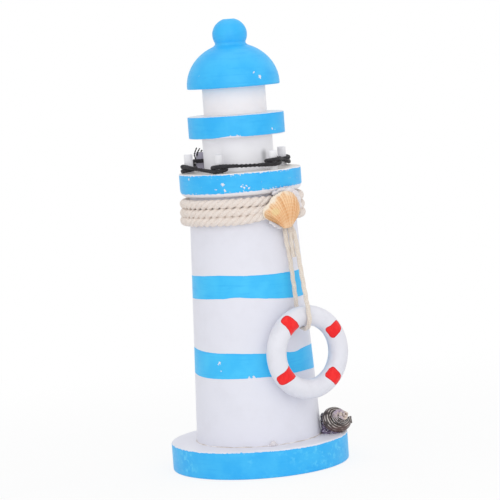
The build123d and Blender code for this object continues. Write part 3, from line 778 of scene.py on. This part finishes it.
def ringMaterial():
    mat, place = newMaterial("ring paint")
    px, py, pz = (along(place, ring["centre"], way) for way in (ringRight, ringUp, ringOut))
    heading = calc("ARCTAN2", py, px) * (180 / pi)
    reach = calc("SQRT", px * px + py * py)
    section = calc("ARCTAN2", pz, reach - ring["radius"]) * (180 / pi)
    nearest = None
    for middle in ring["patches"]:
        apart = calc("ABSOLUTE", calc("WRAP", heading - middle, 180, -180))
        nearest = apart if nearest is None else calc("MINIMUM", nearest, apart)
    narrowing = (reach / ring["radius"]) ** ring["taper"]
    # how far outside a patch with round corners, in mm
    roundWay = (nearest * narrowing - ring["half"]) * (ring["radius"] * pi / 180) + ring["corner"]
    faceFrom = calc("MAXIMUM", px, 0) * ring["rightBorder"] + ring["faceFrom"]
    offFace = calc("MAXIMUM", faceFrom - section, section - ring["faceTo"])
    acrossWay = offFace * (ring["tube"] * pi / 180) + ring["corner"]
    outside = calc("SQRT", calc("MAXIMUM", roundWay, 0) ** 2 + calc("MAXIMUM", acrossWay, 0) ** 2)
    edge = outside + calc("MINIMUM", calc("MAXIMUM", roundWay, acrossWay), 0) - ring["corner"]
    edge = (noiseAt(place, 0.4, 3) - 0.5) * 0.9 + edge
    red = 1 - smooth(edge, -0.12, 0.12)
    brush = noiseAt(stretch(place, (0.6, 0.6, 0.25)), 1, 3)
    white = mixColours(smooth(noiseAt(place, 0.12, 3), 0.4, 0.75), ring["white"], ring["whiteShade"])
    redTint = mixColours(smooth(brush, 0.4, 0.7), ring["red"], ring["redLight"])
    redTint = mixColours(smooth(edge, -0.75, -0.1) * 0.75, redTint, ring["redRim"])
    tint = mixColours(red, white, redTint)
    return dress(mat, tint, brush * 0.16 + 0.33, red * 0.06 + brush * 0.03, 0.6, 0.28)


finishMesh("lifeRing", bm, ringMaterial(), ["life_ring"], "ring")
print("life ring done")

# scallop: a domed fan with fine ribs, its narrow hinge down and its rim up
scallop = {
    "bearing": 8, "height": 128.9, "seat": 33.4785, "turn": -9, "tilt": 9, "halfWidth": 11.8,
    "length": 19.4, "dome": 6.2, "wall": 0.9, "hinge": 2.6, "tip": -0.2, "lean": 0.6, "sideAngle": -24,
    "ribs": 24, "ribHeight": 0.3, "rimWave": 0.012, "rimWander": 0.02, "rimThin": 0.45, "beakWidth": 2.6,
    "beakHeight": 1.5, "folds": 26, "foldHeight": 0.09, "lumps": 0.1, "across": 336, "along": 64,
    "dents": [(105, 0.06, 16), (137, 0.1, 17), (206, 0.1, 14)],
    "tints": [(0, (0.89, 0.6, 0.37)), (0.25, (0.88, 0.53, 0.28)), (0.5, (0.89, 0.53, 0.27)),
              (0.72, (0.9, 0.58, 0.32)), (1, (0.9, 0.65, 0.42))],
    "ray": (0.66, 0.25, 0.06, 1), "furrow": (0.6, 0.26, 0.09, 1), "growth": (0.93, 0.71, 0.45, 1),
    "leftEdge": (0.52, 0.27, 0.11, 1), "leftRim": (0.9, 0.79, 0.66, 1), "pale": (0.9, 0.72, 0.5, 1),
    "yellow": (0.84, 0.66, 0.34, 1), "yellowAt": (-6.3, 10.2),
}
fanBearing = scallop["bearing"] + scallop["turn"]
fanRight, fanOut = atBearing(fanBearing + 90, 1, 0), atBearing(fanBearing, 1, 0)
fanUp = Vector((0, 0, 1))
tilt = radians(scallop["tilt"])
fanRight, fanUp = fanRight * cos(tilt) + fanUp * sin(tilt), fanUp * cos(tilt) - fanRight * sin(tilt)
fanSeat = atBearing(scallop["bearing"], scallop["seat"], scallop["height"])
fanMiddle = scallop["length"] / 2
capRadius = (scallop["halfWidth"] ** 2 + scallop["dome"] ** 2) / (2 * scallop["dome"])


def fanPoint(share, out, inner=False):
    side = radians(scallop["sideAngle"])
    a = side + (pi - 2 * side) * share
    ribWave = abs(sin(pi * share * scallop["ribs"]))
    bow = 1 + scallop["rimWave"] * (ribWave - 1)
    bow += scallop["rimWander"] * noise.noise(Vector((share * 7, 1.5, 0)))
    bow -= sum(depth * exp(-((degrees(a) - at) / width) ** 2) for at, depth, width in scallop["dents"])
    rimX = scallop["halfWidth"] * cos(a) * bow
    rimY = fanMiddle + (scallop["length"] - fanMiddle) * sin(a) * bow
    hingeX = scallop["hinge"] * cos(pi * share) * (1 - out) ** 0.4 + scallop["lean"] * (1 - out)
    hingeY = scallop["tip"] * sin(pi * share)
    px, py = hingeX + (rimX - hingeX) * out, hingeY + (rimY - hingeY) * out
    flat = min(px * px + (py - fanMiddle) ** 2, capRadius**2 * 0.98)
    lift = scallop["dome"] - capRadius + sqrt(capRadius**2 - flat)
    beakX, beakY = (px - scallop["lean"]) / scallop["beakWidth"], py / scallop["beakWidth"]
    lift += exp(-(beakX**2 + beakY**2)) * scallop["beakHeight"]
    lift += scallop["lumps"] * noise.noise(Vector((share * 2, out * 9, 4)))
    fold = out * scallop["folds"] + 2 * noise.noise(Vector((share * 3, 0, 8)))
    lift += scallop["foldHeight"] * sin(fold) * out
    rib = scallop["ribHeight"] * min(1, out * 1.7) * (ribWave**0.8 - 0.6)
    lift += 0.5 * rib - scallop["wall"] * (1 - scallop["rimThin"] * out) if inner else rib
    return (fanSeat + fanRight * px + fanUp * py + fanOut * max(lift, 0.05)) * mm


bm = bmesh.new()
fanUv = bm.loops.layers.uv.new("flat")
sheet(bm, scallop["across"], scallop["along"], fanPoint)
sheet(bm, scallop["across"], scallop["along"], lambda share, out: fanPoint(share, out, True))
fanSpots = {v: v.link_loops[0][fanUv].uv.copy() for v in bm.verts}
rimFaces = bmesh.ops.bridge_loops(bm, edges=[e for e in bm.edges if e.is_boundary])["faces"]
for face in rimFaces:
    for loop in face.loops:
        loop[fanUv].uv = fanSpots[loop.vert]


# rays, furrows and growth lines, then brown down the left edge, a cream left rim and a yellow patch
def scallopMaterial():
    mat, place = newMaterial("scallop")
    share, out = uvOf(place.tree, "flat")
    across, high = along(place, fanSeat, fanRight), along(place, fanSeat, fanUp)
    blotch = noiseAt(place, 0.22, 3)
    grain = noiseAt(place, 1.8, 4)
    ribWave = calc("ABSOLUTE", calc("SINE", share * (pi * scallop["ribs"])))
    furrow = (1 - smooth(ribWave, 0.1, 0.6)) * smooth(out, 0.12, 0.35)
    growth = calc("SINE", blotch * 6 + out * 70)
    rays = smooth(noiseAt(join(share * 22, out), 1, 2), 0.5, 0.62)
    leftEdge = smooth(blotch * 0.1 + share, 0.86, 0.93) * smooth(out, 0.2, 0.4)
    leftRim = smooth(blotch * 0.5 + out, 1.12, 1.24) * smooth(across, 10, 0)
    yellowX, yellowY = scallop["yellowAt"]
    away = calc("SQRT", (across - yellowX) ** 2 + (high - yellowY) ** 2)
    tint = coats(
        ramp((blotch - 0.5) * 0.2 + out, scallop["tints"]),
        (rays * 0.6, scallop["ray"]), (furrow * 0.55, scallop["furrow"]),
        (smooth(growth, 0.2, 1) * 0.3, scallop["growth"]),
        (leftEdge * 0.6, scallop["leftEdge"]), (leftRim, scallop["leftRim"]),
        (smooth(blotch * 2.5 + away, 4, 2.2) * 0.7, scallop["yellow"]),
        (smooth(grain, 0.5, 0.75) * 0.2, scallop["pale"]))
    return dress(mat, tint, 0.5, growth * 0.04 + grain * 0.05, shine=0.3)


finishMesh("scallopShell", bm, scallopMaterial(), ["scallop_shell"], sharp=70)


# hot glue, a little milky
def clearGlueMaterial():
    mat, place = newMaterial("clear glue")
    milky = noiseAt(place, 0.5, 3)
    tint = ramp(milky, [(0.3, (0.84, 0.79, 0.82)), (0.7, (0.92, 0.89, 0.91))])
    return dress(mat, tint, 0.22, milky * 0.2, 0.5, more={"IOR": 1.45, "Transmission Weight": 0.2})


# soft lumps, each a place and a size, pressed into one dab
def dab(name, lumps, voxel, mat, nodes=(), lowest=0, roughen=0.12):
    bm = bmesh.new()
    for place, size in lumps:
        shape = Matrix.Translation(Vector(place) * mm) @ Matrix.Diagonal((*(Vector(size) * mm), 1))
        bmesh.ops.create_icosphere(bm, subdivisions=3, radius=1, matrix=shape)
    rough = placeMesh(name, bm)
    press = rough.modifiers.new("press", "REMESH")
    press.mode = "VOXEL"
    press.voxel_size = voxel * mm
    pressed = afterModifiers(rough)
    bpy.data.objects.remove(rough)
    bm = bmesh.new()
    bm.from_mesh(pressed)
    bpy.data.meshes.remove(pressed)
    ways = {"use_axis_x": True, "use_axis_y": True, "use_axis_z": True}
    for i in range(3):
        bmesh.ops.smooth_vert(bm, verts=bm.verts, factor=0.5, **ways)
    bm.normal_update()
    for v in bm.verts:
        v.co += v.normal * roughen * mm * noise.noise(v.co * 700)
        v.co.z = max(v.co.z, lowest * mm)
    return finishMesh(name, bm, mat, nodes)


# glue behind the scallop, squeezed out past its rim: across, up and out on the fan, then the size
scallopGlue = {"voxel": 0.35, "roughen": 0.07, "lumps": [
    ((0, 9.7, 0.9), (4.6, 2.2, 4.6)), ((5.5, 11.5, 0.6), (3, 1.8, 3)), ((-4, 6.5, 0.7), (3, 1.7, 2.6)),
    ((4, 15.5, 0.4), (4, 1.6, 3.4)), ((-1.6, 18.8, 0.2), (2.2, 1.2, 1.6)),
    ((2.6, 19.6, 0.2), (2.8, 1.3, 1.5)), ((7.2, 18.2, 0.3), (2.8, 1.4, 1.9)),
    ((10.2, 15.4, 0.2), (2.4, 1.5, 2.4)), ((11.2, 12.4, 0.1), (2, 1.5, 2.4)),
    ((11.6, 9, -0.4), (1.5, 1.5, 2.2)), ((-7.2, 5.2, 0.2), (2, 1.3, 1.8)),
    ((-5.2, 3, 0.2), (2.2, 1.3, 1.8)), ((-3, 1, 0.1), (1.8, 1.1, 1.3))]}
fanLumps = [(fanSeat + fanRight * across + fanUp * up + fanOut * out, size)
            for (across, up, out), size in scallopGlue["lumps"]]
clearGlue = clearGlueMaterial()
dab("scallopGlue", fanLumps, scallopGlue["voxel"], clearGlue, ["scallop_glue"],
    roughen=scallopGlue["roughen"])
print("scallop done")

# snail shell: whorls that widen to a lip on the right, banded grey and brown with a worn tip, and a painted
# highlight on the right of the tip
snail = {
    "bearing": 47.1, "circle": 41.7, "rise": 25, "axisBearing": 8, "height": 22.9, "floor": 14.52,
    "turns": 4.2, "shrink": 0.6, "reach": 5.6, "tube": 3.05, "tip": 8.6, "drop": 10.8, "lean": 1.5,
    "flare": 4.4, "flareFor": 0.3, "thin": 0.62, "lipAt": -2, "lipRim": 0.06, "wide": 0.2, "deep": 0.95,
    "flareDeep": 0.3, "cordHeight": 0.022, "lumps": 0.03,
    "mouth": [(0.84, 0), (0.9, 1.6), (0.7, 1.9)], "perTurn": 60, "section": 52, "ribs": 12,
    "bands": [(0, (0.035, 0.028, 0.026)), (0.5, (0.08, 0.06, 0.055)), (0.75, (0.34, 0.3, 0.28)),
              (1, (0.68, 0.63, 0.59))],
    "worn": [(0.35, (0.42, 0.31, 0.4)), (0.5, (0.58, 0.49, 0.54)), (0.62, (0.66, 0.54, 0.46)),
             (0.75, (0.72, 0.64, 0.6))],
    "cloud": (0.1, 0.06, 0.052, 1), "underside": (0.14, 0.065, 0.055, 1), "paintedTipHighlight": (0.8, 0.66, 0.55, 1),
}
snailAxis = atBearing(snail["axisBearing"], cos(radians(snail["rise"])), sin(radians(snail["rise"])))
snailRight = Vector((0, 0, 1)).cross(snailAxis).normalized()
snailUp = snailAxis.cross(snailRight)
snailAt = atBearing(snail["bearing"], snail["circle"], snail["height"])


def snailSpoke(turn):
    return snailRight * cos(turn) + snailUp * sin(turn)


def whorlPoint(share, around):
    back = (1 - share) * snail["turns"]
    grow = snail["shrink"] ** back
    spoke = snailSpoke(radians(snail["lipAt"]) - 2 * pi * back)
    t = 2 * pi * around
    lumpy = noise.noise(Vector((back * 9, cos(t) * 2, sin(t) * 2)))
    cords = 1 + snail["cordHeight"] * cos(snail["ribs"] * t) + snail["lumps"] * lumpy
    size = snail["tube"] * grow * cords * (1 + snail["lipRim"] * max(0, 1 - back * 14))
    flare = max(0, 1 - back / snail["flareFor"]) ** 2
    middle = snailAt + spoke * (snail["reach"] * grow + snail["flare"] * flare)
    middle += snailAxis * (snail["tip"] - snail["drop"] * grow)
    middle += camRight * snail["lean"] * (1 - grow) ** 2
    wide = size * (1 - snail["thin"] * flare) * cos(t)
    deep = size * (snail["deep"] - snail["flareDeep"] * flare) * sin(t)
    return (middle + spoke * wide + snailAxis * deep) * mm


bm = bmesh.new()
snailUv = bm.loops.layers.uv.new("flat")
sheet(bm, round(snail["turns"] * snail["perTurn"]), snail["section"], whorlPoint)
bmesh.ops.remove_doubles(bm, verts=bm.verts, dist=weld)
# the mouth: a short inner wall back from the lip
lipTurn = radians(snail["lipAt"])
inward = snailSpoke(lipTurn - pi / 2) * mm
lipMiddle = snailAt + snailSpoke(lipTurn) * (snail["reach"] + snail["flare"])
lipMiddle += snailAxis * (snail["tip"] - snail["drop"])


def onLip(edge):
    near = (edge.verts[0].co - lipMiddle * mm).length < 1.4 * snail["tube"] * mm
    loops = [loop for v in edge.verts for loop in v.link_loops
             if edge in (loop.edge, loop.link_loop_prev.edge)]
    return edge.is_boundary and near and all(loop[snailUv].uv.x > 0.99 for loop in loops)


lip = [e for e in bm.edges if onLip(e)]
for width, depth in snail["mouth"]:
    grown = bmesh.ops.extrude_edge_only(bm, edges=lip)["geom"]
    inner = [g for g in grown if isinstance(g, bmesh.types.BMVert)]
    lip = [g for g in grown if isinstance(g, bmesh.types.BMEdge) and g.is_boundary]
    centre = sum((v.co for v in inner), Vector()) / len(inner)
    for v in inner:
        v.co = centre + (v.co - centre) * width + inward * depth
closeUp(bm)
for v in bm.verts:
    v.co += camRight * snail["wide"] * (v.co - snailAt * mm).dot(camRight)
lowest = min(v.co.z for v in bm.verts)
bmesh.ops.translate(bm, verts=bm.verts, vec=(0, 0, snail["floor"] * mm - lowest))


def snailMaterial():
    mat, place = newMaterial("snail")
    share, around = uvOf(place.tree, "flat")
    mottle = noiseAt(place, 0.7, 4)
    bands = calc("COSINE", mottle * 1.8 + around * (2 * pi * snail["ribs"]))
    dashes = smooth(noiseAt(join(share * 90, around * 14), 0.6, 2), 0.3, 0.55)
    clouds = smooth(noiseAt(place, 0.3, 4), 0.5, 0.75)
    low = smooth(along(place, snailAt, (0, 0, 1)), -2.5, -6.5)
    rightOfTip = along(place, snailAt + snailAxis * snail["tip"], camRight)
    worn = ramp(noiseAt(place, 0.42, 3), snail["worn"])
    # a painted highlight: paler beige on the tip's right side, as the camera sees it
    worn = mixColours(smooth(rightOfTip, -0.5, 1.3) * 0.85, worn, snail["paintedTipHighlight"])
    tint = coats(
        ramp((bands * 0.5 + 0.5) * dashes, snail["bands"]),
        (clouds * 0.45, snail["cloud"]), (low * 0.55, snail["underside"]),
        (1 - smooth(mottle * 0.1 + share, 0.67, 0.72), worn))
    return dress(mat, tint, 0.34, bands * 0.05 + mottle * 0.15, more={"Coat Weight": 0.12})


finishMesh("snailShell", bm, snailMaterial(), ["snail_shell"])

# glitter glue in the corner by the snail, its upper lumps set dark in the gap between shell and tower as
# painted shade: bearing, radius, height, width and thickness of each lump
snailGlue = {
    "voxel": 0.35, "flakeScale": 2.2, "flake": (0.75, 0.72, 0.86, 1), "black": (0.03, 0.027, 0.034, 1),
    "tints": [(0.3, (0.04, 0.03, 0.055)), (0.5, (0.1, 0.065, 0.14)), (0.7, (0.2, 0.14, 0.26))],
    "lumps": [
        (46.5, 36.4, 15.6, 2.4, 2.4), (46, 38.9, 15.1, 2.3, 1.8), (48.5, 36, 18, 2, 3),
        (49.5, 35.6, 20.8, 1.9, 2.8), (50.5, 35.4, 23.2, 1.6, 2.2), (46, 41.4, 14.9, 2.4, 1.3),
        (49, 43.2, 14.8, 2.2, 1.1), (52, 38, 16.5, 2.6, 3)],
}


# dark and full of flakes; blacker where it climbs the tower, painted shade for the gap between shell and
# tower
def glitterMaterial():
    mat, place = newMaterial("glitter glue")
    flakes = put(place.tree, "ShaderNodeTexVoronoi",
                 {"Vector": place, "Scale": snailGlue["flakeScale"], "Randomness": 1}, "Distance")
    flakeRed = put(place.tree, "ShaderNodeSeparateColor", {"Color": flakes.other("Color")}, "Red")
    flakeOn = calc("GREATER_THAN", flakeRed, 0.84)
    tint = coats(
        ramp(noiseAt(place, 0.4, 3), snailGlue["tints"]),
        (smooth(split(place)[2], 18, 20.5), snailGlue["black"]), (flakeOn, snailGlue["flake"]))
    more = {"Metallic": flakeOn * 0.85, "Coat Weight": 0.6, "Coat Roughness": 0.12}
    return dress(mat, tint, flakeOn * -0.15 + 0.32, flakes * 0.25, 0.6, more=more)


snailLumps = [(atBearing(b, r, h), (w, w, t)) for b, r, h, w, t in snailGlue["lumps"]]
dab("snailGlue", snailLumps, snailGlue["voxel"], glitterMaterial(), ["snail_glue"], baseTop)
print("snail done")

# thin uneven bead of glue round the tower's foot, its grey-brown tints partly painted shade for the dark line
# at the foot, with one pearly blob at the front
bead = {
    "size": 0.5, "section": [(-0.3, 0), (1, 0), (0.75, 0.35), (0.25, 0.8), (-0.1, 1), (-0.3, 1)],
    "tints": [(0.35, (0.52, 0.46, 0.43)), (0.5, (0.66, 0.61, 0.59)), (0.65, (0.82, 0.8, 0.8))],
    "blob": [((-11.9, -32.4, 15.6), (1.6, 1.3, 1.6)), ((-13.2, -31.9, 14.9), (1, 0.9, 0.8)),
             ((-10.2, -32.7, 14.9), (0.9, 0.8, 0.7))], "blobVoxel": 0.2, "blobRoughen": 0.05,
}
beadOutline = [(footRadius + r * bead["size"], towerFoot + z * bead["size"]) for r, z in bead["section"]]
bm = turned(beadOutline, steps=300, step=1, wander=0)
for v in bm.verts:
    spoke = Vector((v.co.x, v.co.y, 0)).normalized()
    foot = (spoke * footRadius + Vector((0, 0, towerFoot))) * mm
    v.co = foot + (v.co - foot) * (0.75 + 0.6 * noise.noise(spoke * 6))


def beadMaterial():
    mat, place = newMaterial("foot glue and painted shade")
    cloudy = noiseAt(place, 0.25, 3)
    return dress(mat, ramp(cloudy, bead["tints"]), 0.35, cloudy * 0.2, 0.5)


finishMesh("footBead", bm, beadMaterial(), ["foot_glue_bead"])
dab("footBlob", bead["blob"], bead["blobVoxel"], clearGlue, (), baseTop, bead["blobRoughen"])


# what stays as the CAD made it: the screw under the base and the dowel inside
def steelMaterial():
    mat, place = newMaterial("zinc steel")
    scratch = noiseAt(stretch(place, (2, 2, 12)), 1, 4)
    tint = ramp(scratch, [(0.3, (0.42, 0.43, 0.45)), (0.7, (0.68, 0.68, 0.7))])
    return dress(mat, tint, scratch * 0.3 + 0.2, more={"Metallic": 1})


def pineMaterial():
    mat, place = newMaterial("bare wood")
    rings = noiseAt(stretch(place, (1.1, 1.1, 0.05)), 1, 4, 0.6)
    tint = ramp(rings, [(0.3, (0.5, 0.33, 0.18)), (0.7, (0.74, 0.56, 0.36))])
    return dress(mat, tint, 0.7, rings * 0.1)


for name, mat in (("base_screw", steelMaterial()), ("centre_dowel", pineMaterial())):
    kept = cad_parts[name]
    kept.data.materials.clear()
    kept.data.materials.append(mat)
print("glue, screw and dowel done")


# where the camera looks, straight or through a reflection
def straightSight(tree):
    seen = put(tree, "ShaderNodeLightPath", {}, "Is Camera Ray")
    mirrored = calc("MAXIMUM", seen.other("Is Glossy Ray"), seen.other("Is Transmission Ray"))
    return calc("MAXIMUM", seen, mirrored)


# pale floor that fades to the white backdrop
stage = {
    "half": 6, "below": 0.0002, "fadeFrom": 90, "fadeTo": 420, "nearGlow": 0.84,
    "tints": [(0.3, (0.9, 0.9, 0.9)), (0.7, (0.92, 0.92, 0.92))],
}
floorMat, place = newMaterial("floor")
tree = floorMat.node_tree
tint = ramp(noiseAt(place, 0.02, 2), stage["tints"])
dress(floorMat, tint, 0.9, shine=0.1)
far = smooth(vectorCalc("LENGTH", place), stage["fadeFrom"], stage["fadeTo"])
glowShare = straightSight(tree) * (far * (1 - stage["nearGlow"]) + stage["nearGlow"])
glow = put(tree, "ShaderNodeEmission", {"Color": (1, 1, 1, 1), "Strength": 1})
lit = Value(tree.nodes["Principled BSDF"].outputs[0])
faded = put(tree, "ShaderNodeMixShader", {0: glowShare, 1: lit, 2: glow})
feed(tree.nodes["Material Output"], {"Surface": faded})
bm = bmesh.new()
bmesh.ops.create_grid(bm, x_segments=1, y_segments=1, size=stage["half"])
floor = placeMesh("floor", bm)
floor.data.materials.append(floorMat)
floor.location.z = -stage["below"]

# even light from all round, a white backdrop and three soft lamps
light = {"room": 0.79, "backdrop": 1, "aim": (0, 0, 0.12), "lamps": [
    {"name": "frontLight", "bearing": -30, "reach": 1000, "height": 300, "size": 1.3, "power": 3.7,
     "colour": (1, 1, 1)},
    {"name": "rightLight", "bearing": 72, "reach": 900, "height": 600, "size": 1, "power": 0.6,
     "colour": (1, 0.99, 0.98)},
    {"name": "topLight", "bearing": -32, "reach": 60, "height": 1250, "size": 0.9, "power": 1.5,
     "colour": (1, 1, 1)},
]}
world = bpy.data.worlds.new("studio")
scene.world = world
world.use_nodes = True
tree = world.node_tree
tree.nodes.clear()
room, backdrop = (put(tree, "ShaderNodeBackground", {"Color": (1, 1, 1, 1), "Strength": light[key]})
                  for key in ("room", "backdrop"))
both = put(tree, "ShaderNodeMixShader", {0: straightSight(tree), 1: room, 2: backdrop})
feed(tree.nodes.new("ShaderNodeOutputWorld"), {"Surface": both})
for kit in light["lamps"]:
    data = bpy.data.lights.new(kit["name"], "AREA")
    data.size = kit["size"]
    data.energy = kit["power"]
    data.color = kit["colour"]
    lamp = bpy.data.objects.new(kit["name"], data)
    lamp.location = atBearing(kit["bearing"], kit["reach"], kit["height"]) * mm
    lamp.rotation_euler = (Vector(light["aim"]) - lamp.location).to_track_quat("-Z", "Y").to_euler()
    scene.collection.objects.link(lamp)
scene.view_settings.view_transform = "Standard"
print("floor and lights done")
